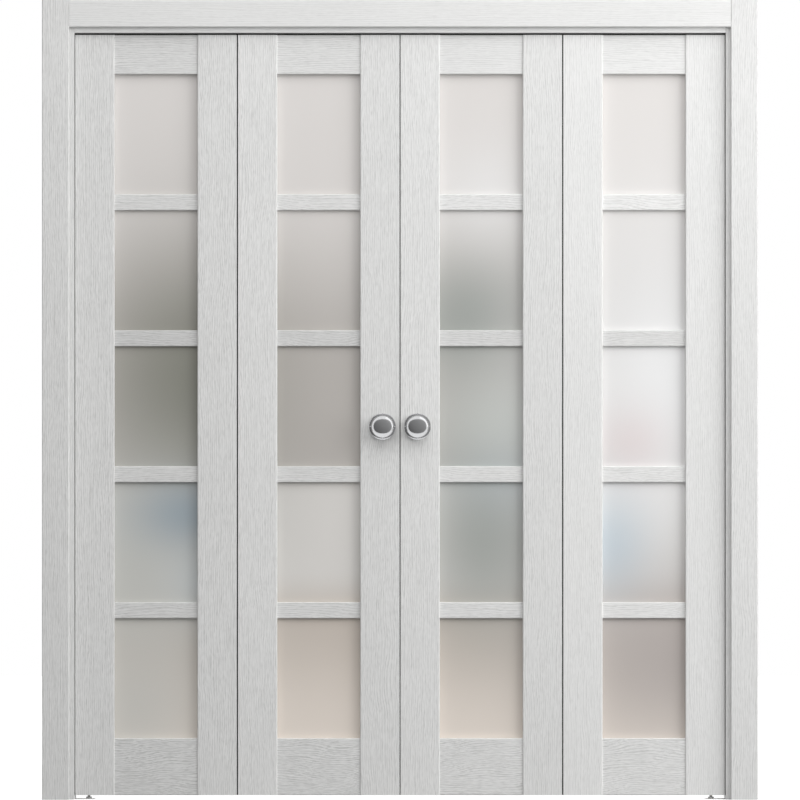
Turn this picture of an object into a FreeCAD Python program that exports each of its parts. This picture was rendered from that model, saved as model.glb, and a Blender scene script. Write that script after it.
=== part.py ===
import FreeCAD, Part
import math
import os

from FreeCAD import Vector

# A folding door in its frame, shown shut. Two pairs of glazed leaves fold away from the middle of a wide
# doorway. Each leaf is two stiles, a top and a bottom rail and four cross bars around five frosted panes.
# Every leaf hangs from a pin in a track that is let into the head of the frame. The outer leaves turn on
# pivots beside the jambs, the inner ones are led by rollers, and hinges behind the leaves join each pair.
# Rubber seals, let into the tops and edges of the leaves, close the gaps round them down to the floor.
# Flat casings with a tongue on the back close the joint between the frame and the wall on both sides.
#
# Millimetres, +X right, +Y from the front to the back, +Z up. The origin is on the floor, in the middle of
# the plan, so that the two pairs meet at X = 0.

# Doorway and the play around the leaves
OPENING_WIDTH = 1824.0
LEAF_HEIGHT = 2130.0
LEAVES_PER_PAIR = 2
FLOOR_GAP = 12.0
HEAD_GAP = 5.0
SIDE_GAP = 2.0
LEAF_GAP = 3.6
MEETING_GAP = 3.0
LEAF_SETBACK = 12.0

# Frame boards
JAMB_THICKNESS = 32.0
HEAD_THICKNESS = 40.0
JAMB_DEPTH = 116.0
JAMB_EASE = 2.0

# Casings, which leave a reveal of frame showing
CASING_WIDTH = 76.0
CASING_THICKNESS = 12.0
CASING_EASE = 3.0
SIDE_REVEAL = 14.0
HEAD_REVEAL = 16.0
TONGUE_INSET = 5.0
TONGUE_THICKNESS = 6.0
TONGUE_LENGTH = 18.0
TONGUE_SIDE_CLEARANCE = 0.25
TONGUE_END_CLEARANCE = 0.5

# Screw holes that fix each side jamb to the wall, in one line behind the leaves
FIXING_HOLE_RADIUS = 2.75
FIXING_COUNT = 4
FIXING_END_DISTANCE = 200.0
FIXING_BACK_DISTANCE = 40.0

# Leaf woodwork
STILE_WIDTH = 110.0
STILE_THICKNESS = 40.0
RAIL_STEP = 4.0
BAR_STEP = 8.0
TOP_RAIL_HEIGHT = 110.0
BOTTOM_RAIL_HEIGHT = 159.0
CROSS_BAR_HEIGHT = 45.0
LITE_COUNT = 5
STILE_OUTER_EASE = 1.0
STILE_INNER_EASE = 3.0
RAIL_EASE = 2.5
GROOVE_WIDTH = 6.0
GROOVE_DEPTH = 10.0
TENON_END_CLEARANCE = 0.5

# Seals, which sit behind the leaves' faces and reach across the gaps
SEAL_SETBACK = 9.0
SEAL_WIDTH = 5.0
SEAL_EMBEDMENT = 3.0
SEAL_CLEARANCE = 0.1

# Panes, which stand on the floor of the groove below them
GLASS_THICKNESS = 5.0
GLASS_EDGE_CLEARANCE = 1.0

# Track in the head
TRACK_WIDTH = 26.0
TRACK_HEIGHT = 24.0
TRACK_WALL = 2.0
TRACK_SLOT = 10.0
TRACK_SIDE_CLEARANCE = 0.3
TRACK_END_CLEARANCE = 0.5

# Pins, pivots and rollers
PIN_RADIUS = 4.0
PIN_CLEARANCE = 0.1
PIN_EMBEDMENT = 45.0
PIN_INSET = 38.0
SOCKET_LENGTH = 42.0
SOCKET_ENGAGEMENT = 12.0
SOCKET_SIDE_CLEARANCE = 0.4
SOCKET_TOP_CLEARANCE = 1.0
ROLLER_RADIUS = 10.0
ROLLER_HEIGHT = 8.0
ROLLER_LIFT = 1.0
JOURNAL_RADIUS = 3.0
JOURNAL_TIP = 1.5
BRACKET_THICKNESS = 2.0
BRACKET_WIDTH = 28.0
BRACKET_TAIL = 16.0
BRACKET_UPSTAND = 30.0
BRACKET_SCREW_DISTANCE = 18.0
BOSS_RADIUS = 8.0
BOSS_HEIGHT = 5.0

# Hinges behind each pair
HINGE_HEIGHT = 76.0
HINGE_FLAP_WIDTH = 27.0
HINGE_FLAP_THICKNESS = 2.5
HINGE_END_DISTANCE = 210.0
HINGE_COUNT = 3
KNUCKLE_COUNT = 5
KNUCKLE_RADIUS = 5.0
KNUCKLE_GAP = 0.3
HINGE_PIN_RADIUS = 2.2
HINGE_PIN_CLEARANCE = 0.1
HINGE_CAP_RADIUS = 4.2
HINGE_CAP_HEIGHT = 2.5
FLAP_SCREW_COUNT = 3
FLAP_SCREW_END_DISTANCE = 13.0
FLAP_SCREW_STAGGER = 5.0

# Countersunk holes in flaps and brackets
SCREW_HOLE_RADIUS = 2.2
SCREW_HEAD_RADIUS = 4.0

# Knobs
KNOB_HEIGHT = 1045.0
KNOB_INSET = 47.5
KNOB_PROJECTION = 54.0
KNOB_NECK_RADIUS = 11.0
KNOB_NECK_LENGTH = 18.0
KNOB_HEAD_RADIUS = 31.5
KNOB_BACK_ROUND = 1.0
KNOB_FRONT_ROUND = 4.0
KNOB_CROWN_RADIUS = 55.0
ROSETTE_RADIUS = 37.0
ROSETTE_THICKNESS = 7.5
ROSETTE_EDGE_THICKNESS = 5.0
ROSETTE_BEVEL_WIDTH = 7.0
ROSETTE_BEVEL_CAMBER = 0.15
ROSETTE_FLUTE_COUNT = 4
ROSETTE_FLUTE_RADIUS = 2.0
ROSETTE_FLUTE_DEPTH = 0.8
ROSETTE_BORE_CLEARANCE = 0.3

# Levels and positions that follow from the sizes above
LEAF_COUNT = 2 * LEAVES_PER_PAIR
PAIR_GAPS = LEAVES_PER_PAIR - 1
LEAF_WIDTH = (OPENING_WIDTH - 2 * SIDE_GAP - 2 * PAIR_GAPS * LEAF_GAP - MEETING_GAP) / LEAF_COUNT
LITE_WIDTH = LEAF_WIDTH - 2 * STILE_WIDTH
BAR_COUNT = LITE_COUNT - 1
LITE_HEIGHT = (
    LEAF_HEIGHT - TOP_RAIL_HEIGHT - BOTTOM_RAIL_HEIGHT - BAR_COUNT * CROSS_BAR_HEIGHT
) / LITE_COUNT

LEAF_BOTTOM = FLOOR_GAP
LEAF_TOP = LEAF_BOTTOM + LEAF_HEIGHT
HEAD_BOTTOM = LEAF_TOP + HEAD_GAP
HEAD_TOP = HEAD_BOTTOM + HEAD_THICKNESS
HEAD_CASING_BOTTOM = HEAD_BOTTOM + HEAD_REVEAL
CASING_TOP = HEAD_CASING_BOTTOM + CASING_WIDTH

JAMB_INNER_X = OPENING_WIDTH / 2
JAMB_OUTER_X = JAMB_INNER_X + JAMB_THICKNESS
CASING_INNER_X = JAMB_INNER_X + SIDE_REVEAL
CASING_OUTER_X = CASING_INNER_X + CASING_WIDTH

FRONT_REACH = max(KNOB_PROJECTION - LEAF_SETBACK, CASING_THICKNESS)
OVERALL_DEPTH = FRONT_REACH + JAMB_DEPTH + CASING_THICKNESS
JAMB_FRONT_Y = FRONT_REACH - OVERALL_DEPTH / 2
JAMB_BACK_Y = JAMB_FRONT_Y + JAMB_DEPTH
LEAF_FRONT_Y = JAMB_FRONT_Y + LEAF_SETBACK
LEAF_BACK_Y = LEAF_FRONT_Y + STILE_THICKNESS
LEAF_MIDDLE_Y = LEAF_FRONT_Y + STILE_THICKNESS / 2

TRACK_LIP_TOP = HEAD_BOTTOM + TRACK_WALL
TRACK_WEB_BOTTOM = HEAD_BOTTOM + TRACK_HEIGHT - TRACK_WALL


def box(x_range, y_range, z_range):
    corner = Vector(x_range[0], y_range[0], z_range[0])
    return Part.makeBox(
        x_range[1] - x_range[0], y_range[1] - y_range[0], z_range[1] - z_range[0], corner
    )


def upright_cylinder(radius, x, y, z_range):
    return Part.makeCylinder(radius, z_range[1] - z_range[0], Vector(x, y, z_range[0]))


def mirrored(shape):
    """The same piece on the other side of the doorway."""
    return shape.mirror(Vector(0, 0, 0), Vector(1, 0, 0))


def rounded_outline(corners):
    """A closed wire through corners given as (point, radius), each corner rounded by its radius."""
    count = len(corners)
    entries, middles, exits = [], [], []
    for i in range(count):
        point, radius = corners[i]
        to_last = (corners[i - 1][0] - point).normalize()
        to_next = (corners[(i + 1) % count][0] - point).normalize()
        half_angle = to_last.getAngle(to_next) / 2
        cut = radius / math.tan(half_angle)
        inward = (to_last + to_next).normalize()
        centre = point + inward * (radius / math.sin(half_angle))
        entries.append(point + to_last * cut)
        exits.append(point + to_next * cut)
        middles.append(centre - inward * radius)
    edges = []
    for i in range(count):
        edges.append(Part.LineSegment(exits[i - 1], entries[i]).toShape())
        if corners[i][1] > 0:
            edges.append(Part.Arc(entries[i], middles[i], exits[i]).toShape())
    return Part.Wire(edges)


def upright_board(x_range, y_range, z_range, ease):
    """A board along Z with its four long edges eased. ease holds one radius for each of the edges
    at (left, front), (right, front), (right, back) and (left, back)."""
    places = [
        (x_range[0], y_range[0]),
        (x_range[1], y_range[0]),
        (x_range[1], y_range[1]),
        (x_range[0], y_range[1]),
    ]
    corners = [(Vector(x, y, z_range[0]), r) for (x, y), r in zip(places, ease)]
    section = Part.Face(rounded_outline(corners))
    return section.extrude(Vector(0, 0, z_range[1] - z_range[0]))


def level_board(x_range, y_range, z_range, ease):
    """A board along X with its four long edges eased. ease holds one radius for each of the edges
    at (front, bottom), (back, bottom), (back, top) and (front, top)."""
    places = [
        (y_range[0], z_range[0]),
        (y_range[1], z_range[0]),
        (y_range[1], z_range[1]),
        (y_range[0], z_range[1]),
    ]
    corners = [(Vector(x_range[0], y, z), r) for (y, z), r in zip(places, ease)]
    section = Part.Face(rounded_outline(corners))
    return section.extrude(Vector(x_range[1] - x_range[0], 0, 0))


def countersunk_hole(mouth, inward, depth):
    """A screw hole to cut through a plate, from its mouth in the plate's outer face."""
    sink_depth = SCREW_HEAD_RADIUS - SCREW_HOLE_RADIUS
    sink = Part.makeCone(SCREW_HEAD_RADIUS, SCREW_HOLE_RADIUS, sink_depth, mouth, inward)
    return sink.fuse(Part.makeCylinder(SCREW_HOLE_RADIUS, depth, mouth, inward))


def turned(profile):
    """Turns a closed profile of edges in the XY plane about the Y axis."""
    return Part.Face(Part.Wire(profile)).revolve(Vector(0, 0, 0), Vector(0, 1, 0), 360)


# Frame


def casing_groove(inner_edge, y_edge, inward):
    """Ranges across and into a frame board of the groove that takes a casing's tongue. inner_edge is
    where the casing starts, y_edge the frame's face, and inward the direction into the frame."""
    near = inner_edge + TONGUE_INSET - TONGUE_SIDE_CLEARANCE
    far = inner_edge + TONGUE_INSET + TONGUE_THICKNESS + TONGUE_SIDE_CLEARANCE
    depth = inward * (TONGUE_LENGTH + TONGUE_END_CLEARANCE)
    return (near, far), tuple(sorted((y_edge, y_edge + depth)))


def right_jamb():
    jamb = upright_board(
        (JAMB_INNER_X, JAMB_OUTER_X),
        (JAMB_FRONT_Y, JAMB_BACK_Y),
        (0, HEAD_TOP),
        (JAMB_EASE, 0, 0, JAMB_EASE),
    )
    for y_edge, inward in ((JAMB_FRONT_Y, 1), (JAMB_BACK_Y, -1)):
        across, into = casing_groove(CASING_INNER_X, y_edge, inward)
        jamb = jamb.cut(box(across, into, (0, HEAD_TOP)))
    step = (HEAD_BOTTOM - 2 * FIXING_END_DISTANCE) / (FIXING_COUNT - 1)
    for i in range(FIXING_COUNT):
        start = Vector(
            JAMB_INNER_X, JAMB_BACK_Y - FIXING_BACK_DISTANCE, FIXING_END_DISTANCE + i * step
        )
        hole = Part.makeCylinder(FIXING_HOLE_RADIUS, JAMB_THICKNESS, start, Vector(1, 0, 0))
        jamb = jamb.cut(hole)
    return jamb.cut(right_bracket_upstand())


def head_jamb():
    span = (-JAMB_INNER_X, JAMB_INNER_X)
    head = level_board(
        span,
        (JAMB_FRONT_Y, JAMB_BACK_Y),
        (HEAD_BOTTOM, HEAD_TOP),
        (JAMB_EASE, JAMB_EASE, 0, 0),
    )
    for y_edge, inward in ((JAMB_FRONT_Y, 1), (JAMB_BACK_Y, -1)):
        across, into = casing_groove(HEAD_CASING_BOTTOM, y_edge, inward)
        head = head.cut(box(span, into, across))
    half_channel = TRACK_WIDTH / 2 + TRACK_SIDE_CLEARANCE
    channel = box(
        span,
        (LEAF_MIDDLE_Y - half_channel, LEAF_MIDDLE_Y + half_channel),
        (HEAD_BOTTOM, HEAD_BOTTOM + TRACK_HEIGHT),
    )
    return head.cut(channel)


def side_casing(front):
    """A right-hand casing, from the floor to the top, with the tongue that seats in the jamb."""
    x_range = (CASING_INNER_X, CASING_OUTER_X)
    tongue_x = (CASING_INNER_X + TONGUE_INSET, CASING_INNER_X + TONGUE_INSET + TONGUE_THICKNESS)
    if front:
        face_y = (JAMB_FRONT_Y - CASING_THICKNESS, JAMB_FRONT_Y)
        tongue_y = (JAMB_FRONT_Y, JAMB_FRONT_Y + TONGUE_LENGTH)
        ease = (CASING_EASE, CASING_EASE, 0, 0)
    else:
        face_y = (JAMB_BACK_Y, JAMB_BACK_Y + CASING_THICKNESS)
        tongue_y = (JAMB_BACK_Y - TONGUE_LENGTH, JAMB_BACK_Y)
        ease = (0, 0, CASING_EASE, CASING_EASE)
    face = upright_board(x_range, face_y, (0, CASING_TOP), ease)
    return face.fuse(box(tongue_x, tongue_y, (0, HEAD_TOP))).removeSplitter()


def head_casing(front):
    """The casing over the doorway, butted between the two side casings."""
    z_range = (HEAD_CASING_BOTTOM, CASING_TOP)
    tongue_bottom = HEAD_CASING_BOTTOM + TONGUE_INSET
    tongue_z = (tongue_bottom, tongue_bottom + TONGUE_THICKNESS)
    if front:
        face_y = (JAMB_FRONT_Y - CASING_THICKNESS, JAMB_FRONT_Y)
        tongue_y = (JAMB_FRONT_Y, JAMB_FRONT_Y + TONGUE_LENGTH)
        ease = (CASING_EASE, 0, 0, CASING_EASE)
    else:
        face_y = (JAMB_BACK_Y, JAMB_BACK_Y + CASING_THICKNESS)
        tongue_y = (JAMB_BACK_Y - TONGUE_LENGTH, JAMB_BACK_Y)
        ease = (0, CASING_EASE, CASING_EASE, 0)
    face = level_board((-CASING_INNER_X, CASING_INNER_X), face_y, z_range, ease)
    tongue = box((-JAMB_INNER_X, JAMB_INNER_X), tongue_y, tongue_z)
    return face.fuse(tongue).removeSplitter()


# Leaves


def leaf_left_x(leaf):
    """Left edge of a leaf, counted from 0 at the left jamb."""
    x = -JAMB_INNER_X + SIDE_GAP + leaf * (LEAF_WIDTH + LEAF_GAP)
    if leaf < LEAVES_PER_PAIR:
        return x
    return x + MEETING_GAP - LEAF_GAP


def groove_y():
    return (LEAF_MIDDLE_Y - GROOVE_WIDTH / 2, LEAF_MIDDLE_Y + GROOVE_WIDTH / 2)


def seal_y():
    return (LEAF_FRONT_Y + SEAL_SETBACK, LEAF_FRONT_Y + SEAL_SETBACK + SEAL_WIDTH)


def sealed_sides(leaf):
    """Edges of a leaf that carry a seal: both on an outer leaf, the one at the middle on an inner one."""
    if leaf in (0, LEAF_COUNT - 1):
        return ("left", "right")
    return ("right",) if leaf < LEAVES_PER_PAIR else ("left",)


def pin_x(leaf):
    """Where a leaf's pins stand: beside the jamb on an outer leaf, beside the middle on an inner one."""
    outer = leaf in (0, LEAF_COUNT - 1)
    left_half = leaf < LEAVES_PER_PAIR
    if outer == left_half:
        return leaf_left_x(leaf) + PIN_INSET
    return leaf_left_x(leaf) + LEAF_WIDTH - PIN_INSET


def stile(leaf, side):
    """A stile with the glazing groove down its inner edge, grooves for seals in its top and its outer
    edge, and bores for the leaf's pins."""
    outer, inner = STILE_OUTER_EASE, STILE_INNER_EASE
    if side == "left":
        x_start = leaf_left_x(leaf)
        groove_x = (x_start + STILE_WIDTH - GROOVE_DEPTH, x_start + STILE_WIDTH)
        seal_x = (x_start, x_start + SEAL_EMBEDMENT)
        ease = (outer, inner, inner, outer)
    else:
        x_start = leaf_left_x(leaf) + LEAF_WIDTH - STILE_WIDTH
        groove_x = (x_start, x_start + GROOVE_DEPTH)
        seal_x = (x_start + STILE_WIDTH - SEAL_EMBEDMENT, x_start + STILE_WIDTH)
        ease = (inner, outer, outer, inner)
    x_range = (x_start, x_start + STILE_WIDTH)
    z_range = (LEAF_BOTTOM, LEAF_TOP)
    post = upright_board(x_range, (LEAF_FRONT_Y, LEAF_BACK_Y), z_range, ease)
    post = post.cut(box(groove_x, groove_y(), z_range))
    post = post.cut(box(x_range, seal_y(), (LEAF_TOP - SEAL_EMBEDMENT, LEAF_TOP)))
    if side in sealed_sides(leaf):
        post = post.cut(box(seal_x, seal_y(), z_range))
    x = pin_x(leaf)
    if x_range[0] < x < x_range[1]:
        bores = [(LEAF_TOP - PIN_EMBEDMENT, LEAF_TOP)]
        if leaf in (0, LEAF_COUNT - 1):
            bores.append((LEAF_BOTTOM, LEAF_BOTTOM + PIN_EMBEDMENT))
        for bore in bores:
            post = post.cut(upright_cylinder(PIN_RADIUS + PIN_CLEARANCE, x, LEAF_MIDDLE_Y, bore))
    return post


def rail(leaf, z_range, step, glass_below, glass_above):
    """A rail or cross bar between the stiles, tenoned into their grooves and grooved for the panes.

    Step is how far its faces lie inside the stiles' faces.
    """
    x_range = (leaf_left_x(leaf) + STILE_WIDTH, leaf_left_x(leaf) + LEAF_WIDTH - STILE_WIDTH)
    tenon_length = GROOVE_DEPTH - TENON_END_CLEARANCE
    tenon_x = (x_range[0] - tenon_length, x_range[1] + tenon_length)
    ease = (RAIL_EASE,) * 4
    bar = level_board(x_range, (LEAF_FRONT_Y + step, LEAF_BACK_Y - step), z_range, ease)
    bar = bar.fuse(box(tenon_x, groove_y(), z_range))
    if glass_below:
        bar = bar.cut(box(tenon_x, groove_y(), (z_range[0], z_range[0] + GROOVE_DEPTH)))
    if glass_above:
        bar = bar.cut(box(tenon_x, groove_y(), (z_range[1] - GROOVE_DEPTH, z_range[1])))
    return bar.removeSplitter()


def top_rail(leaf):
    """The top rail, with a groove for the seal in its upper edge."""
    board = rail(leaf, (LEAF_TOP - TOP_RAIL_HEIGHT, LEAF_TOP), RAIL_STEP, True, False)
    span = (leaf_left_x(leaf), leaf_left_x(leaf) + LEAF_WIDTH)
    return board.cut(box(span, seal_y(), (LEAF_TOP - SEAL_EMBEDMENT, LEAF_TOP)))


def lite_bottom(row):
    """Lower edge of a lite, counted from 0 at the bottom rail."""
    return LEAF_BOTTOM + BOTTOM_RAIL_HEIGHT + row * (LITE_HEIGHT + CROSS_BAR_HEIGHT)


def cross_bars(leaf):
    bars = []
    for row in range(1, LITE_COUNT):
        top = lite_bottom(row)
        bars.append(rail(leaf, (top - CROSS_BAR_HEIGHT, top), BAR_STEP, True, True))
    return Part.makeCompound(bars)


def panes(leaf):
    reach = GROOVE_DEPTH - GLASS_EDGE_CLEARANCE
    x_range = (
        leaf_left_x(leaf) + STILE_WIDTH - reach,
        leaf_left_x(leaf) + LEAF_WIDTH - STILE_WIDTH + reach,
    )
    y_range = (LEAF_MIDDLE_Y - GLASS_THICKNESS / 2, LEAF_MIDDLE_Y + GLASS_THICKNESS / 2)
    sheets = []
    for row in range(LITE_COUNT):
        bottom = lite_bottom(row)
        z_range = (bottom - GROOVE_DEPTH, bottom + LITE_HEIGHT + reach)
        sheets.append(box(x_range, y_range, z_range))
    return Part.makeCompound(sheets)


# Seals


def edge_seal(leaf, side, reach):
    """A strip let into the edge of a leaf, which reaches into the gap beside it."""
    if side == "left":
        edge = leaf_left_x(leaf)
        x_range = (edge - reach, edge + SEAL_EMBEDMENT)
    else:
        edge = leaf_left_x(leaf) + LEAF_WIDTH
        x_range = (edge - SEAL_EMBEDMENT, edge + reach)
    return box(x_range, seal_y(), (LEAF_BOTTOM, LEAF_TOP - SEAL_EMBEDMENT - SEAL_CLEARANCE))


def top_seal(x_range):
    """A strip let into the top of a leaf, which reaches up to the track."""
    return box(x_range, seal_y(), (LEAF_TOP - SEAL_EMBEDMENT, HEAD_BOTTOM))


def left_pair_seals():
    """The seals of the left pair. Those that would meet another seal stop just short of it."""
    inner_start = leaf_left_x(LEAVES_PER_PAIR - 1)
    return [
        edge_seal(0, "left", SIDE_GAP),
        edge_seal(0, "right", LEAF_GAP),
        edge_seal(LEAVES_PER_PAIR - 1, "right", MEETING_GAP / 2 - SEAL_CLEARANCE),
        top_seal((-JAMB_INNER_X, inner_start - SEAL_CLEARANCE)),
        top_seal((inner_start, -SEAL_CLEARANCE)),
    ]


# Track, pivots and rollers


def track():
    """A channel, open below, whose two lips leave a slot for the pins."""
    half_width = TRACK_WIDTH / 2
    half_inside = half_width - TRACK_WALL
    half_slot = TRACK_SLOT / 2
    top = HEAD_BOTTOM + TRACK_HEIGHT
    places = [
        (-half_width, HEAD_BOTTOM),
        (-half_slot, HEAD_BOTTOM),
        (-half_slot, TRACK_LIP_TOP),
        (-half_inside, TRACK_LIP_TOP),
        (-half_inside, TRACK_WEB_BOTTOM),
        (half_inside, TRACK_WEB_BOTTOM),
        (half_inside, TRACK_LIP_TOP),
        (half_slot, TRACK_LIP_TOP),
        (half_slot, HEAD_BOTTOM),
        (half_width, HEAD_BOTTOM),
        (half_width, top),
        (-half_width, top),
    ]
    start = -JAMB_INNER_X + TRACK_END_CLEARANCE
    corners = [(Vector(start, LEAF_MIDDLE_Y + y, z), 0) for y, z in places]
    section = Part.Face(rounded_outline(corners))
    return section.extrude(Vector(OPENING_WIDTH - 2 * TRACK_END_CLEARANCE, 0, 0))


def top_pivot_socket(x):
    """The block in the track that holds an outer leaf's top pin."""
    half_width = TRACK_WIDTH / 2 - TRACK_WALL - SOCKET_SIDE_CLEARANCE
    block = box(
        (x - SOCKET_LENGTH / 2, x + SOCKET_LENGTH / 2),
        (LEAF_MIDDLE_Y - half_width, LEAF_MIDDLE_Y + half_width),
        (TRACK_LIP_TOP, TRACK_WEB_BOTTOM - SOCKET_TOP_CLEARANCE),
    )
    bore = (TRACK_LIP_TOP, TRACK_LIP_TOP + SOCKET_ENGAGEMENT)
    return block.cut(upright_cylinder(PIN_RADIUS + PIN_CLEARANCE, x, LEAF_MIDDLE_Y, bore))


def top_pivot_pin(x):
    z_range = (LEAF_TOP - PIN_EMBEDMENT, TRACK_LIP_TOP + SOCKET_ENGAGEMENT)
    return upright_cylinder(PIN_RADIUS, x, LEAF_MIDDLE_Y, z_range)


def roller_pin(x):
    """A pin with a thinner journal at the top, whose shoulder carries the roller."""
    shoulder = TRACK_LIP_TOP + ROLLER_LIFT
    shank = upright_cylinder(PIN_RADIUS, x, LEAF_MIDDLE_Y, (LEAF_TOP - PIN_EMBEDMENT, shoulder))
    journal_z = (shoulder, shoulder + ROLLER_HEIGHT + JOURNAL_TIP)
    journal = upright_cylinder(JOURNAL_RADIUS, x, LEAF_MIDDLE_Y, journal_z)
    return shank.fuse(journal)


def roller(x):
    bottom = TRACK_LIP_TOP + ROLLER_LIFT
    z_range = (bottom, bottom + ROLLER_HEIGHT)
    wheel = upright_cylinder(ROLLER_RADIUS, x, LEAF_MIDDLE_Y, z_range)
    return wheel.cut(upright_cylinder(JOURNAL_RADIUS + PIN_CLEARANCE, x, LEAF_MIDDLE_Y, z_range))


def bottom_pivot_pin(x):
    z_range = (BRACKET_THICKNESS, LEAF_BOTTOM + PIN_EMBEDMENT)
    return upright_cylinder(PIN_RADIUS, x, LEAF_MIDDLE_Y, z_range)


def bracket_y():
    return (LEAF_MIDDLE_Y - BRACKET_WIDTH / 2, LEAF_MIDDLE_Y + BRACKET_WIDTH / 2)


def right_bracket_upstand():
    """The upright leg of the bottom bracket, which is let in flush with the face of the right jamb."""
    return box(
        (JAMB_INNER_X, JAMB_INNER_X + BRACKET_THICKNESS), bracket_y(), (0, BRACKET_UPSTAND)
    )


def right_bottom_bracket():
    """An angle that stands on the floor in the foot of the jamb, with a socket for the bottom pin."""
    x = pin_x(LEAF_COUNT - 1)
    foot = box((x - BRACKET_TAIL, JAMB_INNER_X), bracket_y(), (0, BRACKET_THICKNESS))
    boss_z = (BRACKET_THICKNESS, BRACKET_THICKNESS + BOSS_HEIGHT)
    boss = upright_cylinder(BOSS_RADIUS, x, LEAF_MIDDLE_Y, boss_z)
    bracket = foot.fuse(right_bracket_upstand()).fuse(boss)
    bracket = bracket.cut(
        upright_cylinder(PIN_RADIUS + PIN_CLEARANCE, x, LEAF_MIDDLE_Y, boss_z)
    )
    floor_mouth = Vector(JAMB_INNER_X - BRACKET_SCREW_DISTANCE, LEAF_MIDDLE_Y, BRACKET_THICKNESS)
    jamb_mouth = Vector(JAMB_INNER_X, LEAF_MIDDLE_Y, BRACKET_SCREW_DISTANCE)
    for mouth, inward in ((floor_mouth, Vector(0, 0, -1)), (jamb_mouth, Vector(1, 0, 0))):
        bracket = bracket.cut(countersunk_hole(mouth, inward, BRACKET_THICKNESS))
    return bracket.removeSplitter()


# Hinges


def hinge_bottoms():
    """Heights at which the hinges of a pair start, evenly spaced between the end ones."""
    lowest = LEAF_BOTTOM + HINGE_END_DISTANCE
    highest = LEAF_TOP - HINGE_END_DISTANCE - HINGE_HEIGHT
    step = (highest - lowest) / (HINGE_COUNT - 1)
    return [lowest + i * step for i in range(HINGE_COUNT)]


def hinge_axis():
    """Plan position of the hinge barrels of the left pair: behind the joint of its two leaves."""
    x = leaf_left_x(0) + LEAF_WIDTH + LEAF_GAP / 2
    return x, LEAF_BACK_Y + KNUCKLE_RADIUS


def hinge_flap(bottom, side):
    """One flap of a left-hand hinge. side is -1 for the outer leaf and 1 for the inner one, and the
    outer flap has the end knuckles."""
    axis_x, axis_y = hinge_axis()
    first = 0 if side < 0 else 1
    length = HINGE_HEIGHT / KNUCKLE_COUNT
    plate_start = KNUCKLE_RADIUS + KNUCKLE_GAP
    plate_y = (LEAF_BACK_Y, LEAF_BACK_Y + HINGE_FLAP_THICKNESS)
    plate_x = sorted(
        (axis_x + side * plate_start, axis_x + side * (plate_start + HINGE_FLAP_WIDTH))
    )
    flap = box(plate_x, plate_y, (bottom, bottom + HINGE_HEIGHT))
    for i in range(first, KNUCKLE_COUNT, 2):
        low = bottom + i * length + (KNUCKLE_GAP / 2 if i > 0 else 0)
        high = bottom + (i + 1) * length - (KNUCKLE_GAP / 2 if i < KNUCKLE_COUNT - 1 else 0)
        strap_x = sorted((axis_x, axis_x + side * plate_start))
        flap = flap.fuse(box(strap_x, plate_y, (low, high)))
        flap = flap.fuse(upright_cylinder(KNUCKLE_RADIUS, axis_x, axis_y, (low, high)))
    bore_radius = HINGE_PIN_RADIUS + HINGE_PIN_CLEARANCE
    bore = upright_cylinder(bore_radius, axis_x, axis_y, (bottom, bottom + HINGE_HEIGHT))
    flap = flap.cut(bore)
    screw_step = (HINGE_HEIGHT - 2 * FLAP_SCREW_END_DISTANCE) / (FLAP_SCREW_COUNT - 1)
    for i in range(FLAP_SCREW_COUNT):
        stagger = side * FLAP_SCREW_STAGGER * (-1) ** i
        mouth = Vector(
            sum(plate_x) / 2 - stagger, plate_y[1], bottom + FLAP_SCREW_END_DISTANCE + i * screw_step
        )
        flap = flap.cut(countersunk_hole(mouth, Vector(0, -1, 0), HINGE_FLAP_THICKNESS))
    return flap.removeSplitter()


def hinge_pin(bottom):
    """The pin of a left-hand hinge, with a cap above and below the knuckles."""
    x, y = hinge_axis()
    top = bottom + HINGE_HEIGHT
    pin = upright_cylinder(HINGE_PIN_RADIUS, x, y, (bottom, top))
    for cap_z in ((bottom - HINGE_CAP_HEIGHT, bottom), (top, top + HINGE_CAP_HEIGHT)):
        pin = pin.fuse(upright_cylinder(HINGE_CAP_RADIUS, x, y, cap_z))
    return pin


def both_pairs(shapes):
    """The pieces of the left pair and their mirror images on the right pair, as one node."""
    return Part.makeCompound(shapes + [mirrored(s) for s in shapes])


# Knobs


def right_knob_place():
    """Where the right-hand knob's axis meets the face of its leaf."""
    return Vector(leaf_left_x(LEAVES_PER_PAIR) + KNOB_INSET, LEAF_FRONT_Y, KNOB_HEIGHT)


def line(start, end):
    return Part.LineSegment(Vector(*start), Vector(*end)).toShape()


def arc(start, through, end):
    return Part.Arc(Vector(*start), Vector(*through), Vector(*end)).toShape()


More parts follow.
